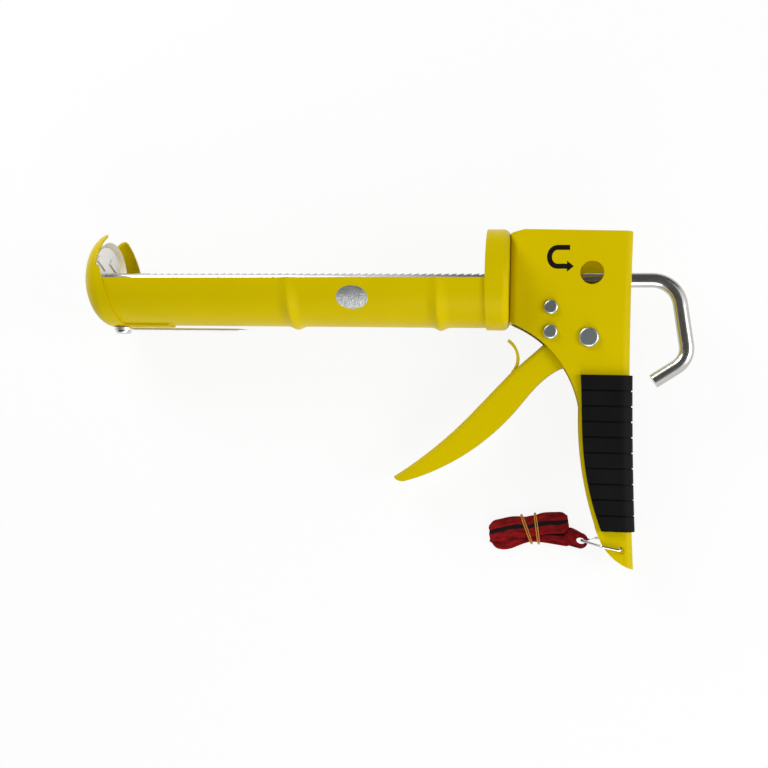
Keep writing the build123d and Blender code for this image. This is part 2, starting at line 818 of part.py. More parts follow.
# Plunger plate, with its washer and nut in front
with BuildPart() as plunger_plate:
    with BuildSketch():
        with BuildLine():
            Polyline(
                (plunger_x - running_fit, spigot_radius + running_fit),
                (plunger_x - running_fit, plunger_flat_radius),
                (plunger_x + plunger_rim_rise, plunger_radius),
                (plunger_x + plunger_rim_rise - plunger_wall, plunger_radius),
                (plunger_x - plunger_wall, plunger_flat_radius),
                (plunger_x - plunger_wall, spigot_radius + running_fit),
                close=True,
            )
        make_face()
    revolve(axis=Axis.X)
    with BuildSketch(Plane.YZ.offset(plunger_x - running_fit)):
        with GridLocations(2 * plunger_pad_place[0], 2 * plunger_pad_place[1], 2, 2):
            RectangleRounded(*plunger_pad, radius=plunger_pad[0] / 4, rotation=plunger_pad_turn)
    extrude(amount=plunger_pad_height)

washer_x = plunger_x - plunger_wall - running_fit
with BuildPart() as plunger_washer:
    with BuildSketch(Plane.YZ.offset(washer_x)):
        Circle(plunger_washer_radius)
        Circle(spigot_radius + running_fit, mode=Mode.SUBTRACT)
    extrude(amount=-plunger_washer_height + running_fit)

with BuildPart() as plunger_nut:
    with BuildSketch(Plane.YZ.offset(washer_x - plunger_washer_height + running_fit)):
        RegularPolygon(plunger_nut_flat, 6, major_radius=False)
        Circle(spigot_radius + sheet_fit, mode=Mode.SUBTRACT)
    extrude(amount=-plunger_nut_height)

# Wrist strap: a band folded over itself, ending in a sewn eye that the link pulls up
top_layer_rise = strap_rise + strap_wall + strap_fold_gap
top_run = Vector(*top_layer_end) - Vector(*top_layer_start)
top_middle = (Vector(*top_layer_end) + Vector(*top_layer_start)) / 2
eye_along = Vector(1, 0, 0).rotate(Axis.Y, -eye_tilt).rotate(Axis.Z, eye_turn)
eye_across = Vector(0, 1, 0).rotate(Axis.Z, eye_turn)
eye_start = table.from_local_coords(Vector(*eye_root, strap_rise + strap_wall / 2))
eye_plane = Plane(
    origin=eye_start,
    x_dir=table.from_local_coords(eye_along) - table.origin,
    z_dir=table.from_local_coords(eye_along.cross(eye_across)) - table.origin,
)
with BuildPart() as wrist_strap:
    with BuildSketch(table.offset(strap_rise)):
        with BuildLine():
            Line(low_layer_start, low_layer_corner)
            Spline(low_layer_corner, low_layer_belly, low_layer_waist, low_layer_end)
            Line(low_layer_end, (low_layer_end[0], low_layer_start[1]))
            Line((low_layer_end[0], low_layer_start[1]), low_layer_start)
        make_face()
    extrude(amount=strap_wall)
    with BuildSketch(table.offset(top_layer_rise)):
        with Locations(top_middle):
            RectangleRounded(
                top_run.length,
                top_layer_width,
                radius=strap_corner,
                rotation=degrees(atan2(top_run.Y, top_run.X)),
            )
    extrude(amount=strap_wall)
    with BuildSketch(table.offset(top_layer_rise - strap_fold_gap)):
        with Locations(low_layer_start):
            Rectangle(strap_fold_width, top_layer_width / 2, align=(Align.MIN, Align.MAX))
    extrude(amount=strap_fold_gap)
    with BuildSketch(eye_plane.offset(-strap_wall / 2)):
        with BuildLine():
            Line((0, 0), (eye_run, 0))
        trace(line_width=eye_width)
        with Locations((eye_run, 0)):
            Circle(eye_width / 2)
    extrude(amount=strap_wall)
    with BuildSketch(eye_plane):
        with Locations((eye_run, 0)):
            Circle(eye_radius)
    extrude(amount=eye_width, both=True, mode=Mode.SUBTRACT)

# Two rubber bands round the folded strap
band_low = strap_rise - band_gap - band_wall
band_height = top_layer_rise + strap_wall + band_gap + band_wall - band_low
with BuildPart() as strap_bands:
    for upper_end, lower_end in band_ends:
        band_run = Vector(*upper_end) - Vector(*lower_end)
        band_middle = (Vector(*upper_end) + Vector(*lower_end)) / 2
        band_plane = Plane(
            origin=table.from_local_coords(band_middle + Vector(0, 0, band_low + band_height / 2)),
            x_dir=table.from_local_coords(band_run) - table.origin,
            z_dir=table.from_local_coords(band_run.rotate(Axis.Z, -90)) - table.origin,
        )
        with BuildSketch(band_plane):
            RectangleRounded(band_run.length, band_height, radius=band_wall)
            Rectangle(band_run.length - 2 * band_wall, band_height - 2 * band_wall, mode=Mode.SUBTRACT)
        extrude(amount=band_width / 2, both=True)

# Wire link through the strap's eye and the hole in the handle's tip, its ends butted
eye_high = eye_plane.from_local_coords(Vector(eye_run, 0, link_stand))
eye_low = eye_plane.from_local_coords(Vector(eye_run, 0, -link_stand))
pad_reach = eye_run + eye_width / 2 + link_stand
pad_low = eye_plane.from_local_coords(Vector(pad_reach, link_spread, -link_stand))
plate_middle = body_half - sheet / 2
hole_high = Vector(*strap_hole_place, plate_middle + link_stand)
hole_low = Vector(*strap_hole_place, plate_middle - link_stand)
link_turn = Vector(*link_turn_place, plate_middle - link_stand)
link_joint = (link_turn + pad_low) / 2
joint_half = (pad_low - link_turn).normalized() * (link_joint_gap / 2)
with BuildPart() as strap_link:
    with BuildLine() as link_line:
        FilletPolyline(
            link_joint + joint_half,
            pad_low,
            eye_low,
            eye_high,
            (*link_edge_place, plate_middle + link_stand),
            hole_high,
            hole_low,
            link_turn,
            link_joint - joint_half,
            radius=link_bend,
        )
    with BuildSketch(Plane(origin=link_line.line @ 0, z_dir=link_line.line % 0)):
        Circle(link_wire_radius)
    sweep()

# Every piece by its name
pieces = {
    "half_barrel": half_barrel.part,
    "front_cap": front_cap.part,
    "piercing_wire": piercing_wire.part,
    "piercer_rivet": piercer_rivet.part,
    "rear_cup": rear_cup.part,
    "barrel_bush": barrel_bush.part,
    "barrel_nut": barrel_nut.part,
    "body_shell": body_shell.part,
    "grip_sleeve": grip_sleeve.part,
    "pivot_rivet": pivot_rivet,
    "pivot_bush": pivot_bush.part,
    "stop_rivet": stop_rivet,
    "pawl_rivet": pawl_rivet,
    "trigger": trigger.part,
    "return_spring": return_spring,
    "cutter_blade": cutter_blade.part,
    "blade_rivet": blade_rivet.part,
    "drive_pawl": drive_pawl.part,
    "drive_pawl_pin": drive_pawl_pin.part,
    "drive_pawl_spring": drive_spring,
    "holding_pawl": holding_pawl.part,
    "holding_pawl_spring": holding_spring,
    "toothed_rod": toothed_rod.part,
    "plunger_plate": plunger_plate.part,
    "plunger_washer": plunger_washer.part,
    "plunger_nut": plunger_nut.part,
    "strap_link": strap_link.part,
    "wrist_strap": wrist_strap.part,
    "strap_bands": strap_bands.part,
}

# Lay the gun on its side, with the origin below the middle of its box
rolled = [piece.moved(Location((0, 0, 0), (rest_roll, 0, 0))) for piece in pieces.values()]
box = Compound(children=rolled).bounding_box()
lay = Location((-box.center().X, -box.center().Y, -box.min.Z), (rest_roll, 0, 0))

os.makedirs("parts", exist_ok=True)
for name, piece in pieces.items():
    placed = piece.moved(lay)
    placed.label = name
    export_step(placed, f"parts/{name}.step")
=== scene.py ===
"""Half-barrel caulking gun on its side: finishes, wrist strap, prints, springs and stage."""

import json
from math import atan2, cos, hypot, pi, radians, tan

import bpy
import numpy as np
from mathutils import Matrix, Vector


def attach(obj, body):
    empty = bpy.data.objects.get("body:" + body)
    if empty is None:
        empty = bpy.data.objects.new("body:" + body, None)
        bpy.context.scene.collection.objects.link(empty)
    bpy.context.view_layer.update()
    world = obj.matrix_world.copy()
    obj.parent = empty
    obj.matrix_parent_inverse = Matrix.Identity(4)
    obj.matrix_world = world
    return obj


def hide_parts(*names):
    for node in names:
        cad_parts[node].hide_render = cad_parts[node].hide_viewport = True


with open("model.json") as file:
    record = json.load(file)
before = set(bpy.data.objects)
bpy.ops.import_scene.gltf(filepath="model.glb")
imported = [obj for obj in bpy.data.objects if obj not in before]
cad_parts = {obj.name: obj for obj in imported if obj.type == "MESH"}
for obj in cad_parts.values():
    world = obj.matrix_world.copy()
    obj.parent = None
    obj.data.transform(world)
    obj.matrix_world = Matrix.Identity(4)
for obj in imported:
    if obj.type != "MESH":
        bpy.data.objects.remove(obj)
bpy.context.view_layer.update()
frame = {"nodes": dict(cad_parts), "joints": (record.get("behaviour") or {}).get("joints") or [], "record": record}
scene = bpy.context.scene
MM = 0.001

# The gun's own frame: X back along the rod, Y out of the open barrel, Z to the near plate.
# The rod's turning axis gives its origin, and the trigger's axis gives the roll it lies at.
joints = {joint["name"]: joint for joint in frame["joints"]}
gun_origin = Vector(joints["rod_turn"]["pos_m"])
near_axis = Vector(joints["trigger_squeeze"]["axis"])
rest_roll = atan2(-near_axis.y, near_axis.z)
lay = Matrix.Translation(gun_origin) @ Matrix.Rotation(rest_roll, 4, "X")
lay_turn = np.array(lay.to_3x3())
lay_shift = np.array(lay.translation)


def from_gun(points):
    """Points of the gun's own frame, in millimetres, as points of the row frame in metres."""
    return np.asarray(points, float) * MM @ lay_turn.T + lay_shift


def from_table(points):
    """Points beside the rod's axis and above the table, in millimetres, in the row frame."""
    return np.asarray(points, float) * MM + np.array((gun_origin.x, gun_origin.y, 0.0))


def to_gun(point):
    """A row point, in metres, as the gun's own X and Y in millimetres."""
    place = lay.inverted() @ Vector(point) / MM
    return np.array((place.x, place.y))


# Camera, fitted to the photograph in the gun's own frame
CAMERA_PLACE = (21.43, -74.28, 544.85)
CAMERA_YAW = 0.1659
CAMERA_PITCH = 0.0277
CAMERA_ROLL = 0.0226
CAMERA_LENS = 45.77
CAMERA_SENSOR = 36.0
CAMERA_NEAR = 0.01

camera_data = bpy.data.cameras.new("camera")
camera_data.lens = CAMERA_LENS
camera_data.sensor_width = CAMERA_SENSOR
camera_data.clip_start = CAMERA_NEAR
camera = bpy.data.objects.new("camera", camera_data)
scene.collection.objects.link(camera)
camera.matrix_world = (
    lay
    @ Matrix.Translation(Vector(CAMERA_PLACE) * MM)
    @ Matrix.Rotation(CAMERA_YAW, 4, "Y")
    @ Matrix.Rotation(CAMERA_PITCH, 4, "X")
    @ Matrix.Rotation(CAMERA_ROLL, 4, "Z")
)
scene.camera = camera


# Meshes
def grid_piece(
    name, points, closed_rows=False, closed_columns=False, along=None, across=None, smooth=True
):
    """A piece whose quads join a grid of points, rows by columns, either way closed or open.

    Open ends of a grid with closed columns get one flat face each. along and across, where
    given, are the grid's two texture coordinates.
    """
    rows, columns = points.shape[:2]
    index = np.arange(rows * columns).reshape(rows, columns)
    right = np.roll(index, -1, axis=1) if closed_columns else index[:, 1:]
    left = index if closed_columns else index[:, :-1]
    top = slice(None) if closed_rows else slice(None, -1)
    below = (lambda grid: np.roll(grid, -1, axis=0)) if closed_rows else (lambda grid: grid[1:])
    quads = np.stack((left[top], right[top], below(right), below(left)), axis=-1).reshape(-1, 4)
    faces = quads.tolist()
    if closed_columns and not closed_rows:
        faces.append(index[0, ::-1].tolist())
        faces.append(index[-1].tolist())
    mesh = bpy.data.meshes.new(name)
    mesh.from_pydata(points.reshape(-1, 3).tolist(), [], faces)
    if along is not None:
        corner = np.empty(len(mesh.loops), dtype=np.int32)
        mesh.loops.foreach_get("vertex_index", corner)
        texture = np.stack((along, across), axis=-1).reshape(-1, 2)[corner]
        mesh.uv_layers.new(name="cloth").data.foreach_set("uv", texture.ravel().astype(np.float32))
    if smooth:
        mesh.shade_smooth()
    mesh.validate()
    piece = bpy.data.objects.new(name, mesh)
    scene.collection.objects.link(piece)
    return piece


def unit(vectors):
    """Each vector of an array at a length of one."""
    return vectors / np.linalg.norm(vectors, axis=-1, keepdims=True)


def carried(path, across, outline):
    """An outline carried along a path: its first coordinate runs along across, its second along
    the normal to across and the path."""
    forward = unit(np.gradient(path, axis=0))
    across = unit(across - forward * np.sum(across * forward, axis=1, keepdims=True))
    normal = np.cross(forward, across)
    return (
        path[:, None]
        + outline[..., 0:1] * across[:, None]
        + outline[..., 1:2] * normal[:, None]
    )


def wire(name, path, radius, level_axis, sides=12):
    """A round wire along a path, its section set by an axis that the path never follows."""
    turn = np.linspace(0.0, 2 * pi, sides, endpoint=False)
    outline = radius * np.stack((np.cos(turn), np.sin(turn)), axis=-1)
    forward = np.gradient(path, axis=0)
    points = carried(path, np.cross(level_axis, forward), outline[None])
    return grid_piece(name, points, closed_columns=True)


def flat_oval(half_width, half_height, sides=28, squareness=0.45):
    """A flat closed section with full round edges: a superellipse."""
    turn = np.linspace(0.0, 2 * pi, sides, endpoint=False)
    wide = np.sign(np.cos(turn)) * np.abs(np.cos(turn)) ** squareness
    high = np.sign(np.sin(turn)) * np.abs(np.sin(turn)) ** squareness
    return np.stack((half_width * wide, half_height * high), axis=-1)


def soft_step(values):
    """A smooth rise from 0 to 1."""
    values = np.clip(values, 0.0, 1.0)
    return values * values * (3 - 2 * values)


# Shader helpers
def material(name):
    """A new node material, its node tree and its main shader."""
    made = bpy.data.materials.new(name)
    made.use_nodes = True
    tree = made.node_tree
    return made, tree, tree.nodes["Principled BSDF"]


def set_inputs(node, **values):
    """Inputs of a node by name, with _ for a space."""
    for name, value in values.items():
        node.inputs[name.replace("_", " ")].default_value = value


def add_node(tree, kind, **values):
    """A node with some of its inputs set."""
    node = tree.nodes.new(kind)
    set_inputs(node, **values)
    return node


def give(tree, socket, value):
    """Sets an input, or links it where the value is another node's output."""
    if isinstance(value, bpy.types.NodeSocket):
        tree.links.new(value, socket)
    else:
        socket.default_value = value


def computed(tree, operation, *values):
    """The result of a math node, each of its values a number or another node's output."""
    node = tree.nodes.new("ShaderNodeMath")
    node.operation = operation
    for socket, value in zip(node.inputs, values):
        give(tree, socket, value)
    return node.outputs["Value"]


def new_group(name, inputs, outputs):
    """A shader node group with named float inputs and their defaults, and typed outputs."""
    group = bpy.data.node_groups.new(name, "ShaderNodeTree")
    for label, default in inputs.items():
        socket = group.interface.new_socket(label, in_out="INPUT", socket_type="NodeSocketFloat")
        socket.default_value = default
    for label, kind in outputs.items():
        group.interface.new_socket(label, in_out="OUTPUT", socket_type=kind)
    return group, group.nodes.new("NodeGroupInput"), group.nodes.new("NodeGroupOutput")


def mottle_group():
    """Noise at two sizes, each a mask from 0 to 1, for colour and gloss that vary a little."""
    group, start, end = new_group(
        "mottle",
        {"Coarse": 40.0, "Fine": 900.0},
        {"Coarse": "NodeSocketFloat", "Fine": "NodeSocketFloat"},
    )
    place = group.nodes.new("ShaderNodeTexCoord")
    for label in ("Coarse", "Fine"):
        noise = add_node(group, "ShaderNodeTexNoise", Detail=4.0)
        group.links.new(place.outputs["Object"], noise.inputs["Vector"])
        group.links.new(start.outputs[label], noise.inputs["Scale"])
        group.links.new(noise.outputs["Fac"], end.inputs[label])
    return group


mottle = mottle_group()


def add_mottle(tree, coarse, fine):
    """The shared noise at two scales, in waves per metre."""
    node = tree.nodes.new("ShaderNodeGroup")
    node.node_tree = mottle
    set_inputs(node, Coarse=coarse, Fine=fine)
    return node


def mixed_colour(tree, mask, low, high):
    """A colour between two, by a mask. Each is red, green, blue and 1, or another node's output."""
    node = tree.nodes.new("ShaderNodeMix")
    node.data_type = "RGBA"
    give(tree, node.inputs["A"], low)
    give(tree, node.inputs["B"], high)
    tree.links.new(mask, node.inputs["Factor"])
    return node.outputs["Result"]


def ranged(tree, mask, low, high):
    """A value between two, by a mask."""
    node = tree.nodes.new("ShaderNodeMapRange")
    node.inputs["To Min"].default_value = low
    node.inputs["To Max"].default_value = high
    tree.links.new(mask, node.inputs["Value"])
    return node.outputs["Result"]


def bumped(tree, shader, height, strength, distance):
    """A bump from a height, set on a shader's normal."""
    node = add_node(tree, "ShaderNodeBump", Strength=strength, Distance=distance)
    tree.links.new(height, node.inputs["Height"])
    tree.links.new(node.outputs["Normal"], shader.inputs["Normal"])


# Finishes. The webbing's stripe is placed in shares of the strap's half width.
STRIPE_MIDDLE = 0.1
STRIPE_HALF = 0.2
STRIPE_RAG = 0.2
RIB_PITCH = 0.9 * MM


def yellow_enamel():
    """Glossy stoved enamel: an even yellow with slight orange peel."""
    made, tree, shader = material("yellow_enamel")
    noise = add_mottle(tree, coarse=25.0, fine=1100.0)
    colour = mixed_colour(
        tree, noise.outputs["Coarse"], low=(0.6, 0.46, 0.0, 1.0), high=(0.66, 0.515, 0.0, 1.0)
    )
    rough = ranged(tree, noise.outputs["Coarse"], low=0.26, high=0.36)
    tree.links.new(colour, shader.inputs["Base Color"])
    tree.links.new(rough, shader.inputs["Roughness"])
    set_inputs(shader, Specular_IOR_Level=0.08, Specular_Tint=(1.0, 0.88, 0.3, 1.0))
    bumped(tree, shader, noise.outputs["Fine"], strength=0.05, distance=0.0002)
    return made


def plated_steel(name, low, high, rough_low, rough_high):
    """Plated or oiled steel: a metal whose colour and gloss vary slowly, with a faint grain."""
    made, tree, shader = material(name)
    noise = add_mottle(tree, coarse=90.0, fine=2400.0)
    colour = mixed_colour(tree, noise.outputs["Coarse"], (*low, 1.0), (*high, 1.0))
    rough = ranged(tree, noise.outputs["Coarse"], rough_low, rough_high)
    tree.links.new(colour, shader.inputs["Base Color"])
    tree.links.new(rough, shader.inputs["Roughness"])
    set_inputs(shader, Metallic=1.0)
    bumped(tree, shader, noise.outputs["Fine"], strength=0.02, distance=0.00005)
    return made


def grip_rubber():
    """Matt black moulded rubber with a fine sand texture."""
    made, tree, shader = material("grip_rubber")
    noise = add_mottle(tree, coarse=60.0, fine=2200.0)
    colour = mixed_colour(
        tree,
        noise.outputs["Coarse"],
        low=(0.004, 0.004, 0.004, 1.0),
        high=(0.009, 0.009, 0.009, 1.0),
    )
    rough = ranged(tree, noise.outputs["Coarse"], low=0.5, high=0.65)
    tree.links.new(colour, shader.inputs["Base Color"])
    tree.links.new(rough, shader.inputs["Roughness"])
    set_inputs(shader, Specular_IOR_Level=0.05)
    bumped(tree, shader, noise.outputs["Fine"], strength=0.25, distance=0.0002)
    return made


def red_webbing():
    """Woven red webbing: cross ribs, a ragged black stripe down its middle, and dark streaks along it that are
    partly painted crease shade and partly faded dye.
    """
    made, tree, shader = material("red_webbing")
    texture = tree.nodes.new("ShaderNodeTexCoord")
    parts = tree.nodes.new("ShaderNodeSeparateXYZ")
    tree.links.new(texture.outputs["UV"], parts.inputs["Vector"])
    noise = add_mottle(tree, coarse=160.0, fine=1500.0)
    streaks = add_node(tree, "ShaderNodeTexNoise", Scale=1.0, Detail=3.0)
    stretch = add_node(tree, "ShaderNodeMapping", Scale=(130.0, 2.6, 1.0))
    tree.links.new(texture.outputs["UV"], stretch.inputs["Vector"])
    tree.links.new(stretch.outputs["Vector"], streaks.inputs["Vector"])
    # Painted shade: dark streaks along the strap stand in for shade in its creases, and partly for faded dye.
    crease_shade_and_fading = ranged(tree, streaks.outputs["Fac"], low=-0.9, high=1.9)
    red = mixed_colour(tree, crease_shade_and_fading, low=(0.1, 0.004, 0.004, 1.0), high=(0.33, 0.008, 0.011, 1.0))
    ragged = computed(tree, "MULTIPLY_ADD", noise.outputs["Coarse"], STRIPE_RAG, parts.outputs["Y"])
    stripe = computed(tree, "COMPARE", ragged, STRIPE_MIDDLE, STRIPE_HALF)
    colour = mixed_colour(tree, stripe, low=red, high=(0.012, 0.008, 0.008, 1.0))
    tree.links.new(colour, shader.inputs["Base Color"])
    rib_turn = computed(tree, "MULTIPLY", parts.outputs["X"], 2 * pi / RIB_PITCH)
    ribs = computed(tree, "SINE", rib_turn)
    weave = computed(tree, "ADD", ribs, noise.outputs["Fine"])
    set_inputs(shader, Roughness=0.85, Specular_IOR_Level=0.06, Sheen_Weight=0.04)
    bumped(tree, shader, weave, strength=0.5, distance=0.0002)
    return made


def amber_rubber():
    """Amber rubber, slightly cloudy."""
    made, tree, shader = material("amber_rubber")
    noise = add_mottle(tree, coarse=300.0, fine=2500.0)
    colour = mixed_colour(
        tree, noise.outputs["Coarse"], low=(0.42, 0.17, 0.02, 1.0), high=(0.66, 0.3, 0.05, 1.0)
    )
    tree.links.new(colour, shader.inputs["Base Color"])
    set_inputs(shader, Roughness=0.4)
    bumped(tree, shader, noise.outputs["Fine"], strength=0.15, distance=0.0001)
    return made


def black_print():
    """Screen-printed black ink with a slightly uneven film."""
    made, tree, shader = material("black_print")
    noise = add_mottle(tree, coarse=200.0, fine=1800.0)
    colour = mixed_colour(
        tree,
        noise.outputs["Coarse"],
        low=(0.004, 0.003, 0.003, 1.0),
        high=(0.014, 0.011, 0.008, 1.0),
    )
    tree.links.new(colour, shader.inputs["Base Color"])
    set_inputs(shader, Roughness=0.45, Specular_IOR_Level=0.08)
    bumped(tree, shader, noise.outputs["Fine"], strength=0.1, distance=0.0001)
    return made


def silver_foil():
    """Embossed silver foil: small facets that catch the light differently."""
    made, tree, shader = material("silver_foil")
    place = tree.nodes.new("ShaderNodeTexCoord")
    facets = add_node(tree, "ShaderNodeTexVoronoi", Scale=1300.0)
    tree.links.new(place.outputs["Object"], facets.inputs["Vector"])
    noise = add_mottle(tree, coarse=350.0, fine=1500.0)
    colour = mixed_colour(
        tree, noise.outputs["Coarse"], low=(0.2, 0.215, 0.21, 1.0), high=(0.56, 0.57, 0.56, 1.0)
    )
    rough = ranged(tree, noise.outputs["Fine"], low=0.3, high=0.5)
    tree.links.new(colour, shader.inputs["Base Color"])
    tree.links.new(rough, shader.inputs["Roughness"])
    set_inputs(shader, Metallic=0.9)
    bumped(tree, shader, facets.outputs["Distance"], strength=0.6, distance=0.0003)
    return made


# Each steel: darkest and lightest colour, least and most roughness
STEELS = {
    "zinc_steel": ((0.56, 0.57, 0.57), (0.72, 0.73, 0.74), 0.22, 0.34),
    "hardened_steel": ((0.28, 0.28, 0.29), (0.4, 0.4, 0.4), 0.3, 0.45),
    "spring_steel": ((0.22, 0.22, 0.23), (0.34, 0.34, 0.35), 0.28, 0.42),
    "rod_steel": ((0.47, 0.46, 0.44), (0.58, 0.57, 0.55), 0.2, 0.28),
    "rivet_steel": ((0.42, 0.46, 0.46), (0.52, 0.57, 0.57), 0.34, 0.42),
    # Painted light: a lighter copy of the zinc, for the plunger plate and piercing wire, so that they read as
    # brightly lit.
    "zinc_painted_light": ((0.84, 0.84, 0.84), (0.9, 0.9, 0.9), 0.45, 0.55),
}
finishes = {name: plated_steel(name, *look) for name, look in STEELS.items()}
finishes["yellow_enamel"] = yellow_enamel()
finishes["grip_rubber"] = grip_rubber()
finishes["red_webbing"] = red_webbing()
finishes["band_rubber"] = amber_rubber()
own_finishes = {
    "toothed_rod": "rod_steel",
    "pivot_rivet": "rivet_steel",
    "stop_rivet": "rivet_steel",
    "pawl_rivet": "rivet_steel",
    "plunger_plate": "zinc_painted_light",
    "piercing_wire": "zinc_painted_light",
}
foil = silver_foil()
ink = black_print()

for part in frame["record"]["subparts"]:
    node = frame["nodes"][part["node"]]
    node.data.materials.clear()
    node.data.materials.append(finishes[own_finishes.get(part["node"], part["material_slot"])])


def dress(piece, finish, slot, body, *nodes):
    """Gives a piece its finish and its body, and the nodes that it stands for."""
    piece.data.materials.append(finish)
    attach(piece, body)
    if nodes:
        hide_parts(*nodes)


# Wrist strap: places beside the rod's axis, levels above the table, sizes in millimetres and
# rates of its waves in radians per millimetre or per half width
TOP_RIGHT = (34.2, -131.1)
TOP_LEFT = (-7.9, -138.0)
TOP_LEVEL = 3.0
LOW_LEVEL = 1.4
LOW_UPPER_EDGE = -136.6
LOW_END = 37.0
STRAP_WIDTH = 12.0
STRAP_WALL = 1.1
STRAP_ROUND = 4.4
STRAP_ROWS = 110
STRAP_SIDES = 56
FOLD_LEAST = 0.5
FOLD_REACH = 1.2
FOLD_ROWS = 26
WAIST_X = 15.5
BELLY_MIDDLE = -145.9
BELLY_SWING = 2.5
BELLY_RUN = 17.0
TAIL_MIDDLE = -144.45
TAIL_SWING = 1.05
TAIL_RUN = 25.0
PINCH_PLACES = (11.5, 17.0)
PINCH_REACH = 2.2
PINCH_DIP = 0.1
PINCH_DRAW = 0.07
PINCH_CALM = 0.8
RIPPLE = 0.12
RIPPLE_COUNT = 7.0
SWAY = 0.35
SWAY_RATE = 0.34
SWAY_START = 0.4
LEAN_RATE = 2.4
LEAN_START = 0.7
CREASE = 0.22
CREASE_RATE = 7.0
CREASE_DRIFT = 0.22
CREASE_START = 1.1
STRIPE_SHIFT = -0.5
EYE_ROOT = (36.0, -140.4)
EYE_TILT = radians(25.0)
EYE_TURN = radians(-14.0)
EYE_RUN = 5.8
EYE_OUTER = 4.3
EYE_NECK = 6.0
EYE_FLARES = (0.55, 0.15)
EYE_HOLE = (2.6, 1.6)
EYE_BEND = 2.0
EYE_ROWS = 96
EYE_SIDES = 24
EYE_NECK_RISE = 1.6
# The eye's cloth pattern: the black round its hole is partly a dark sewn edge and partly painted shade in the
# hole, widest on one side.
EYE_CLOTH_START = 0.1
EYE_CLOTH_WIDTH = 0.9
EYE_SHADE_DRIFT = 0.25
EYE_SHADE_TURN = 0.8
BAND_ENDS = (((8.1, -128.3), (14.5, -144.8)), ((15.7, -127.1), (18.3, -144.8)))
BAND_LOW = 0.25
BAND_HIGH = 4.2
BAND_ROWS = 96
BAND_SQUARENESS = 0.4
STRAND_RADIUS = 0.36
STRAND_SIDES = 10
STRAND_SPREAD = 0.55
STRAND_CLOSING = 0.3


def low_edge(x):
    """Lower edge of the strap's lower layer: one cosine to the waist, a longer one past it."""
    belly = BELLY_MIDDLE + BELLY_SWING * np.cos(pi * (x - WAIST_X) / BELLY_RUN)
    tail = TAIL_MIDDLE + TAIL_SWING * np.cos(pi * (x - WAIST_X) / TAIL_RUN)
    return np.where(x < WAIST_X, belly, tail)


def pinch(x):
    """How far the two bands draw the strap in, from 0 to 1."""
    return sum(np.exp(-(((x - place) / PINCH_REACH) ** 2)) for place in PINCH_PLACES)


def corner_loss(distance):
    """What a round corner takes off the strap's half width, by the distance from its end."""
    inset = STRAP_ROUND - np.clip(distance, FOLD_LEAST, STRAP_ROUND)
    return STRAP_ROUND - np.sqrt(STRAP_ROUND**2 - inset**2)


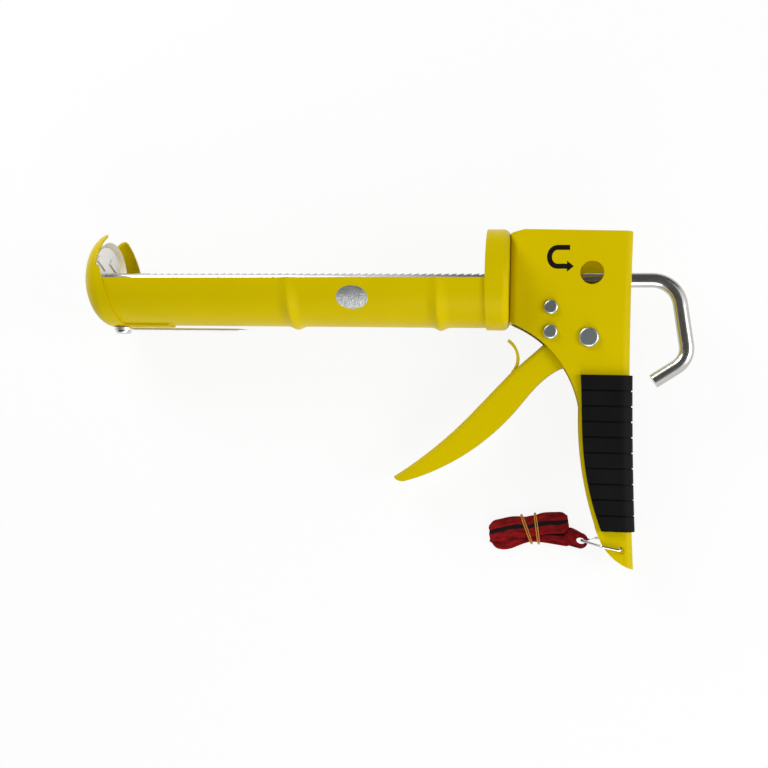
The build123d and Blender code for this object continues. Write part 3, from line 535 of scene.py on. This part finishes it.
def strap_band():
    """One ribbon: its top layer runs left, turns over at the fold and runs back below.

    Its half width is cut by round corners at the ends and drawn in at the bands, and a wave
    across it that drifts along it lifts the cloth into creases.
    """
    run = (1 - np.cos(np.linspace(0.0, pi, STRAP_ROWS))) / 2
    top_x = TOP_RIGHT[0] + (TOP_LEFT[0] - TOP_RIGHT[0]) * run
    top_y = TOP_RIGHT[1] + (TOP_LEFT[1] - TOP_RIGHT[1]) * run
    fold_radius = (TOP_LEVEL - LOW_LEVEL) / 2
    fold_left = TOP_LEFT[0] - FOLD_REACH * fold_radius
    ripple = RIPPLE * np.sin(RIPPLE_COUNT * pi * run) * (1 - pinch(top_x))
    top_h = TOP_LEVEL - PINCH_DIP * pinch(top_x) + ripple
    top_half = STRAP_WIDTH / 2 * (1 - PINCH_DRAW * pinch(top_x)) - corner_loss(TOP_RIGHT[0] - top_x)
    top_loss = corner_loss(top_x - fold_left) / 2
    top_y = top_y + SWAY * np.sin(SWAY_RATE * top_x + SWAY_START) - top_loss
    top_half = top_half - top_loss

    low_x = TOP_LEFT[0] + (LOW_END - TOP_LEFT[0]) * run
    low_loss = corner_loss(low_x - fold_left) / 2
    low_y = (LOW_UPPER_EDGE + low_edge(low_x)) / 2 + low_loss
    low_half = (LOW_UPPER_EDGE - low_edge(low_x)) / 2 - low_loss - corner_loss(LOW_END - low_x)
    low_h = np.full_like(low_x, LOW_LEVEL)

    turn = np.linspace(0.0, 1.0, FOLD_ROWS)[1:-1]
    fold_x = TOP_LEFT[0] - FOLD_REACH * fold_radius * np.sin(pi * turn)
    fold_y = top_y[-1] + (low_y[0] - top_y[-1]) * soft_step(turn)
    fold_h = (TOP_LEVEL + LOW_LEVEL) / 2 + fold_radius * np.cos(pi * turn)
    fold_loss = (corner_loss(fold_x - fold_left) - corner_loss(TOP_LEFT[0] - fold_left)) / 2
    fold_half = top_half[-1] + (low_half[0] - top_half[-1]) * soft_step(turn) - fold_loss

    path = np.stack(
        (
            np.concatenate((top_x, fold_x, low_x)),
            np.concatenate((top_y, fold_y, low_y)),
            np.concatenate((top_h, fold_h, low_h)),
        ),
        axis=-1,
    )
    half = np.concatenate((top_half, fold_half, low_half))
    lean = atan2(TOP_RIGHT[1] - TOP_LEFT[1], TOP_RIGHT[0] - TOP_LEFT[0])
    lean = lean * (1 - soft_step(np.linspace(0.0, 1.0, len(half)) * LEAN_RATE - LEAN_START))
    across = np.stack((-np.sin(lean), np.cos(lean), np.zeros_like(lean)), axis=-1)
    section = flat_oval(1.0, STRAP_WALL / 2, sides=STRAP_SIDES)
    crosswise = np.broadcast_to(section[None, :, 0], (len(half), len(section)))
    calm = 1 - PINCH_CALM * np.clip(pinch(path[:, 0]), 0.0, 1.0)
    wave = np.sin(CREASE_RATE * crosswise + CREASE_DRIFT * path[:, :1] + CREASE_START)
    crease = CREASE * calm[:, None] * wave
    step = np.linalg.norm(np.diff(path, axis=0, prepend=path[:1]), axis=1)
    along = np.broadcast_to((np.cumsum(step) * MM)[:, None], crosswise.shape)
    normal = unit(np.cross(unit(np.gradient(path, axis=0)), across))
    points = (
        path[:, None]
        + (half[:, None] * crosswise)[..., None] * across[:, None]
        + (section[None, :, 1] + crease)[..., None] * normal[:, None]
    )
    shift = STRIPE_SHIFT * np.concatenate((np.zeros_like(run), soft_step(turn), np.ones_like(run)))
    across_cloth = crosswise + shift[:, None]
    return grid_piece(
        "strap_band", from_table(points), closed_columns=True, along=along, across=across_cloth
    )


def strap_eye():
    """The sewn eye: a flat ring whose outer edge is drawn out into a wider neck under the strap.

    It rises along a line that is rounded off at its root, where the neck lies on the table.
    """
    turn = np.linspace(2 * pi, 0.0, EYE_ROWS, endpoint=False)
    ring = np.stack((np.cos(turn), np.sin(turn)), axis=-1)
    neck = soft_step(-EYE_NECK_RISE * np.cos(turn))
    flare = np.where(ring[:, 1] > 0.0, *EYE_FLARES)
    outer = EYE_OUTER * ring * np.stack((np.ones_like(neck), 1 + flare * neck), axis=-1)
    outer[:, 0] -= EYE_NECK * neck
    inner = np.array(EYE_HOLE) * ring
    section = flat_oval(0.5, STRAP_WALL / 2, sides=EYE_SIDES)
    share = section[:, 0] + 0.5
    flat = inner[:, None] + (outer - inner)[:, None] * share[None, :, None]
    reach = (flat[..., 0] + EYE_RUN) * cos(EYE_TILT)
    rise = tan(EYE_TILT) * (reach + np.hypot(reach, EYE_BEND)) / 2
    local = np.stack((reach, flat[..., 1], LOW_LEVEL + rise + section[None, :, 1]), axis=-1)
    turned = local @ np.array(Matrix.Rotation(EYE_TURN, 3, "Z")).T
    points = turned + np.array((*EYE_ROOT, 0.0))
    along = np.broadcast_to((turn * EYE_OUTER * MM)[:, None], rise.shape)
    # Painted shade: this drift moves the black round the hole so that it is widest on one side, as shade in the
    # hole.
    shade_drift = EYE_SHADE_DRIFT * (1 + np.cos(turn + EYE_SHADE_TURN))
    across = EYE_CLOTH_START + EYE_CLOTH_WIDTH * share[None, :] + shade_drift[:, None]
    return grid_piece(
        "strap_eye",
        from_table(points),
        closed_rows=True,
        closed_columns=True,
        along=along,
        across=across,
    )


def rubber_band(name, upper, lower, side):
    """One strand of a rubber band: a flat round-cornered loop about the folded strap."""
    turn = np.linspace(0.0, 2 * pi, BAND_ROWS, endpoint=False)
    run = np.array((*upper, 0.0)) - np.array((*lower, 0.0))
    middle = (np.array((*upper, BAND_HIGH)) + np.array((*lower, BAND_LOW))) / 2
    long_half = np.linalg.norm(run) / 2 - STRAND_RADIUS
    high_half = (BAND_HIGH - BAND_LOW) / 2 - STRAND_RADIUS
    loop = flat_oval(long_half, high_half, BAND_ROWS, BAND_SQUARENESS)
    forward = unit(run)
    beside = np.array((forward[1], -forward[0], 0.0))
    upward = np.array((0.0, 0.0, 1.0))
    sway = side * (STRAND_SPREAD - STRAND_CLOSING * np.cos(turn) ** 2)
    path = middle + loop[:, :1] * forward + loop[:, 1:] * upward + sway[:, None] * beside
    tangent = unit(np.roll(path, -1, axis=0) - np.roll(path, 1, axis=0))
    ring = np.linspace(0.0, 2 * pi, STRAND_SIDES, endpoint=False)
    normal = unit(np.cross(tangent, beside))
    points = (
        path[:, None]
        + STRAND_RADIUS * np.cos(ring)[None, :, None] * np.cross(normal, tangent)[:, None]
        + STRAND_RADIUS * np.sin(ring)[None, :, None] * normal[:, None]
    )
    return grid_piece(name, from_table(points), closed_rows=True, closed_columns=True)


dress(strap_band(), finishes["red_webbing"], "red_webbing", "frame", "wrist_strap")
dress(strap_eye(), finishes["red_webbing"], "red_webbing", "frame", "wrist_strap")
for number, (upper_end, lower_end) in enumerate(BAND_ENDS):
    for label, side in (("a", -1.0), ("b", 1.0)):
        strand = rubber_band(f"rubber_band_{number}{label}", upper_end, lower_end, side)
        dress(strand, finishes["band_rubber"], "band_rubber", "frame", "strap_bands")

# Prints on the enamel
PLATE_FACE = 11.0
PRINT_FILM = 0.04
ARROW_TOP = 16.3
ARROW_BOTTOM = 6.1
ARROW_TAIL = 32.2
ARROW_TURN = 25.6
ARROW_NECK = 30.7
ARROW_TIP = 34.3
ARROW_STROKE = 2.7
ARROW_HEAD = 5.9
ARROW_SQUASH = 0.84
ARROW_STEPS = 24
FOIL_PLACE = -84.9
FOIL_RISE = -12.75
FOIL_HALF = (8.9, 7.0)
BARREL_RADIUS = 26.75
FOIL_FILM = 0.07
FOIL_MIDDLE = 0.01
FOIL_ROWS = 30
FOIL_SIDES = 72


def turn_arrow():
    """A turn arrow: a stroke with a half-round end, which widens and closes to a point.

    Its section is a thin film, whose lower half lies in the plate.
    """
    middle = (ARROW_TOP + ARROW_BOTTOM) / 2
    reach = (ARROW_TOP - ARROW_BOTTOM) / 2
    bend = np.linspace(pi / 2, 3 * pi / 2, ARROW_STEPS)
    bend_x = ARROW_TURN + ARROW_SQUASH * reach * np.cos(bend)
    x = np.concatenate(((ARROW_TAIL,), bend_x, (ARROW_NECK, ARROW_NECK, ARROW_TIP)))
    y = np.concatenate(((ARROW_TOP,), middle + reach * np.sin(bend), np.full(3, ARROW_BOTTOM)))
    stroke = np.full(len(bend) + 2, ARROW_STROKE / 2)
    half = np.concatenate((stroke, (ARROW_HEAD / 2, PRINT_FILM / 2)))
    side = np.stack((np.cos(bend), np.sin(bend)), axis=-1)
    side = np.concatenate((((0.0, 1.0),), side, ((0.0, -1.0),) * 3))
    line = np.stack((x, y), axis=-1)
    edge = half[:, None] * side
    corners = ((1.0, 1.0), (1.0, -1.0), (-1.0, -1.0), (-1.0, 1.0))
    flat = np.stack([line + out * edge for out, up in corners], axis=1)
    level = np.array([PLATE_FACE + up * PRINT_FILM for out, up in corners])
    level = np.broadcast_to(level, flat.shape[:2])
    points = np.concatenate((flat, level[..., None]), axis=-1)
    return grid_piece("turn_arrow", from_gun(points), closed_columns=True, smooth=False)


def foil_oval():
    """An oval film on the barrel's cylinder: out from its middle on top, and back to it below."""
    way = np.linspace(0.0, 1.0, FOIL_ROWS)[:, None]
    turn = np.linspace(2 * pi, 0.0, FOIL_SIDES, endpoint=False)[None, :]
    ring = np.maximum(np.sin(pi * way), FOIL_MIDDLE)
    x = FOIL_PLACE + FOIL_HALF[0] * ring * np.cos(turn)
    arc = np.arcsin(FOIL_RISE / BARREL_RADIUS) + FOIL_HALF[1] / BARREL_RADIUS * ring * np.sin(turn)
    radius = BARREL_RADIUS + FOIL_FILM * np.cos(pi * way) ** 3 * np.ones_like(turn)
    points = np.stack((x, radius * np.sin(arc), radius * np.cos(arc)), axis=-1)
    return grid_piece("foil_oval", from_gun(points), closed_columns=True)


dress(turn_arrow(), ink, None, "frame")
dress(foil_oval(), foil, None, "frame")

# Springs: wound wire in place of the frame's plain sleeves
pivot = to_gun(joints["trigger_squeeze"]["pos_m"])
drive_pin = to_gun(joints["drive_pawl_turn"]["pos_m"])
holding_pin = to_gun(joints["holding_pawl_turn"]["pos_m"])
LEVEL_AXIS = lay_turn @ np.array((0.0, 0.0, 1.0))
COIL_PITCH = 2.04
COIL_STEPS = 40
COIL_LEAST_STEPS = 20
LEG_STEPS = 14


def leg_angle(place, end, radius, side):
    """Where a straight leg to an end leaves a coil, as an angle round its place."""
    run = np.asarray(end) - place
    heading = atan2(run[1], run[0])
    return heading + side * (pi / 2 - np.arcsin(radius / hypot(*run)))


def round_place(place, radius, angle, level):
    """Points at a radius and angles round a place, at their levels."""
    x = place[0] + radius * np.cos(angle)
    y = place[1] + radius * np.sin(angle)
    return np.stack((x, y, level), axis=-1)


def wound_spring(name, place, radius, wire_radius, low, high, leg_end, side, free_angle):
    """A coil that starts in a straight leg and winds up to a free angle."""
    start = leg_angle(place, leg_end, radius, side)
    part_turn = side * (free_angle - start) / (2 * pi) % 1.0
    climb = high - low - 2 * wire_radius
    turns = part_turn + max(0, int(climb / (COIL_PITCH * wire_radius) - part_turn))
    wind = np.linspace(0.0, 1.0, int(COIL_STEPS * turns) + COIL_LEAST_STEPS)
    level = low + wire_radius + climb * wind
    coil = round_place(place, radius, start + side * 2 * pi * turns * wind, level)
    reach = np.linspace(0.0, 1.0, LEG_STEPS)[:-1, None]
    leg = np.array((*leg_end, level[0])) * (1 - reach) + coil[0] * reach
    return wire(name, from_gun(np.concatenate((leg, coil))), wire_radius * MM, LEVEL_AXIS)


def spring_leg(name, place, radius, wire_radius, level, leg_end, side):
    """The other leg of a spring, from its coil to what it presses on."""
    angle = leg_angle(place, leg_end, radius, side)
    start = round_place(place, radius, angle, level)
    reach = np.linspace(0.0, 1.0, LEG_STEPS)[:, None]
    path = start * (1 - reach) + np.array((*leg_end, level)) * reach
    return wire(name, from_gun(path), wire_radius * MM, LEVEL_AXIS), angle


# Where the springs' legs end
STOP_LEG = (22.5, -26.3)
WEB_LEG = (-7.6, -65.2)
HOLDING_LEG = (19.8, -29.4)
FINGER_LEG = (9.8, -8.6)
DRIVE_LEG = 7.0
drive_run = np.array((DRIVE_LEG, 0.0))

# Each spring's coil radius, wire radius, lowest and highest level
RETURN_SPRING = (5.6, 0.74, -3.5, 3.5)
HOLDING_SPRING = (4.7, 0.34, 3.8, 9.2)
DRIVE_SPRING = (2.45, 0.34, 4.05, 5.7)

# Each spring's place, size, two leg ends, body and the body that its second leg moves with
spring_sets = {
    "return_spring": (pivot, RETURN_SPRING, STOP_LEG, WEB_LEG, "frame", "trigger"),
    "holding_pawl_spring": (
        holding_pin,
        HOLDING_SPRING,
        HOLDING_LEG,
        FINGER_LEG,
        "frame",
        "holding_pawl",
    ),
    "drive_pawl_spring": (
        drive_pin,
        DRIVE_SPRING,
        drive_pin + drive_run,
        drive_pin - drive_run,
        "trigger",
        "drive_pawl",
    ),
}
for name, (place, size, first_end, second_end, body, moved_body) in spring_sets.items():
    radius, wire_radius, low, high = size
    top = high - wire_radius
    leg, free = spring_leg(f"{name}_leg", place, radius, wire_radius, top, second_end, 1)
    coil = wound_spring(f"{name}_coil", place, *size, first_end, -1, free)
    dress(coil, finishes["spring_steel"], "spring_steel", body, name)
    dress(leg, finishes["spring_steel"], "spring_steel", moved_body, name)

# Stage: a white table, dark cards above and behind the gun for its steel to mirror, and soft lamps
FLOOR_HALF = 3.0
FLOOR_COLOUR = (0.9, 0.9, 0.9, 1.0)
FLOOR_SEEN = 0.9
CARD_COLOUR = (0.1, 0.1, 0.1, 1.0)
CARD_LEVEL = 0.75
CARD_LOW = (-1.8, -1.6)
CARD_HIGH = (0.6, 0.6)
BACK_CARD_PLACE = 0.6
BACK_CARD_ENDS = (-0.05, 0.9)
BACK_CARD_HEIGHT = 0.76
WHITE = (1.0, 1.0, 1.0, 1.0)
ROOM_LIGHT = 0.24
ROOM_SEEN = 1.0
LAMP_TARGET = (0.0, 0.0, 0.02)
SIDE_TARGET = (-0.15, 0.05, 0.02)


def panel(name, corners, finish):
    """A flat four-cornered panel of the stage."""
    mesh = bpy.data.meshes.new(name)
    mesh.from_pydata(corners, [], [(0, 1, 2, 3)])
    mesh.materials.append(finish)
    made = bpy.data.objects.new(name, mesh)
    scene.collection.objects.link(made)
    return made


def level_corners(low, high, level):
    """Corners of a level rectangle that faces up."""
    (left, front), (right, back) = low, high
    return [(left, front, level), (right, front, level), (right, back, level), (left, back, level)]


def dark_card(name, corners, finish):
    """A card that only mirrors see."""
    made = panel(name, corners, finish)
    made.visible_camera = False
    made.visible_diffuse = False
    made.visible_shadow = False


def seen_white(tree, shader, strength):
    """Mixes a shader with plain white for what the camera and mirrors see of the background."""
    path = tree.nodes.new("ShaderNodeLightPath")
    white = add_node(tree, "ShaderNodeEmission", Color=WHITE, Strength=1.0)
    seen = path.outputs["Is Camera Ray"]
    for ray in ("Is Glossy Ray", "Is Transmission Ray"):
        seen = computed(tree, "MAXIMUM", seen, path.outputs[ray])
    share = computed(tree, "MULTIPLY", seen, strength)
    mix = tree.nodes.new("ShaderNodeMixShader")
    tree.links.new(share, mix.inputs["Fac"])
    tree.links.new(shader, mix.inputs[1])
    tree.links.new(white.outputs["Emission"], mix.inputs[2])
    return mix.outputs["Shader"]


floor_finish, floor_tree, floor_shader = material("white_table")
set_inputs(floor_shader, Base_Color=FLOOR_COLOUR, Roughness=0.9, Specular_IOR_Level=0.0)
floor_mix = seen_white(floor_tree, floor_shader.outputs["BSDF"], FLOOR_SEEN)
floor_tree.links.new(floor_mix, floor_tree.nodes["Material Output"].inputs["Surface"])
floor_corners = level_corners((-FLOOR_HALF, -FLOOR_HALF), (FLOOR_HALF, FLOOR_HALF), 0.0)
panel("floor", floor_corners, floor_finish)

card_finish, _, card_shader = material("dark_card")
set_inputs(card_shader, Base_Color=CARD_COLOUR, Roughness=1.0, Specular_IOR_Level=0.0)
dark_card("upper_card", level_corners(CARD_LOW, CARD_HIGH, CARD_LEVEL), card_finish)
back_low = [(x, BACK_CARD_PLACE, 0.0) for x in BACK_CARD_ENDS]
back_high = [(x, BACK_CARD_PLACE, BACK_CARD_HEIGHT) for x in BACK_CARD_ENDS[::-1]]
dark_card("back_card", back_low + back_high, card_finish)

world = bpy.data.worlds.new("studio")
scene.world = world
world.use_nodes = True
world_tree = world.node_tree
room = world_tree.nodes["Background"]
set_inputs(room, Color=WHITE, Strength=ROOM_LIGHT)
world_mix = seen_white(world_tree, room.outputs["Background"], ROOM_SEEN)
world_tree.links.new(world_mix, world_tree.nodes["World Output"].inputs["Surface"])


def soft_lamp(name, place, target, size, power):
    """A square soft lamp aimed at a place."""
    data = bpy.data.lights.new(name, "AREA")
    data.size = size
    data.energy = power
    lamp = bpy.data.objects.new(name, data)
    scene.collection.objects.link(lamp)
    lamp.location = place
    lamp.rotation_euler = (Vector(target) - Vector(place)).to_track_quat("-Z", "Y").to_euler()


soft_lamp("key_lamp", (-0.6, 0.75, 0.55), LAMP_TARGET, size=0.55, power=8.5)
soft_lamp("fill_lamp", (0.2, -0.85, 0.35), LAMP_TARGET, size=0.6, power=5.0)
soft_lamp("side_lamp", (1.05, -0.1, 0.62), SIDE_TARGET, size=0.5, power=7.0)

scene.view_settings.view_transform = "Standard"
